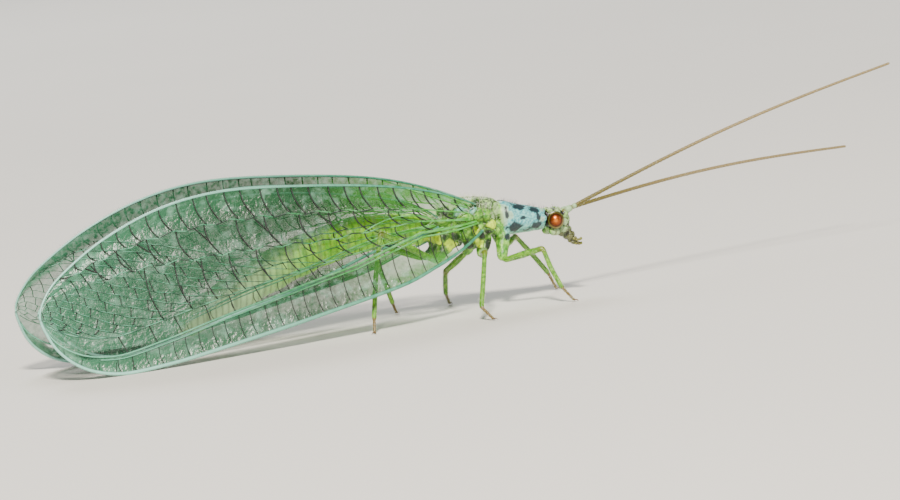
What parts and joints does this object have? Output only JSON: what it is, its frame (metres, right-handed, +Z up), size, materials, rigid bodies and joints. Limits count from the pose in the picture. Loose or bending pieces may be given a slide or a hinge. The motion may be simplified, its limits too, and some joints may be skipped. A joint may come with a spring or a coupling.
{
  "type": "green lacewing",
  "caption": "Life-size still model of a green lacewing standing with its veined wings folded like a roof and its long antennae held forward.",
  "frame": {"origin": "centre of the bounding box on the plane that the feet and the lower edges of the forewings stand on", "axes": "+X towards the head and antennae, +Y towards the animal's left side, +Z up"},
  "size_m": [0.029, 0.0071, 0.006],
  "materials": {
    "head_and_thorax": "satin",
    "pronotum": "satin",
    "abdomen": "satin",
    "eye": "gloss",
    "antenna": "matte",
    "leg": "satin",
    "wing": "gloss"
  },
  "bodies": {
    "root": {"head": "head_and_thorax", "eye_right": "eye", "eye_left": "eye", "antenna_right": "antenna", "antenna_left": "antenna", "prothorax": "pronotum", "mesothorax": "head_and_thorax", "metathorax": "head_and_thorax", "abdomen": "abdomen", "forewing_right": "wing", "forewing_left": "wing", "hindwing_right": "wing", "hindwing_left": "wing", "foreleg_right": "leg", "foreleg_left": "leg", "midleg_right": "leg", "midleg_left": "leg", "hindleg_right": "leg", "hindleg_left": "leg"}
  },
  "joints": []
}
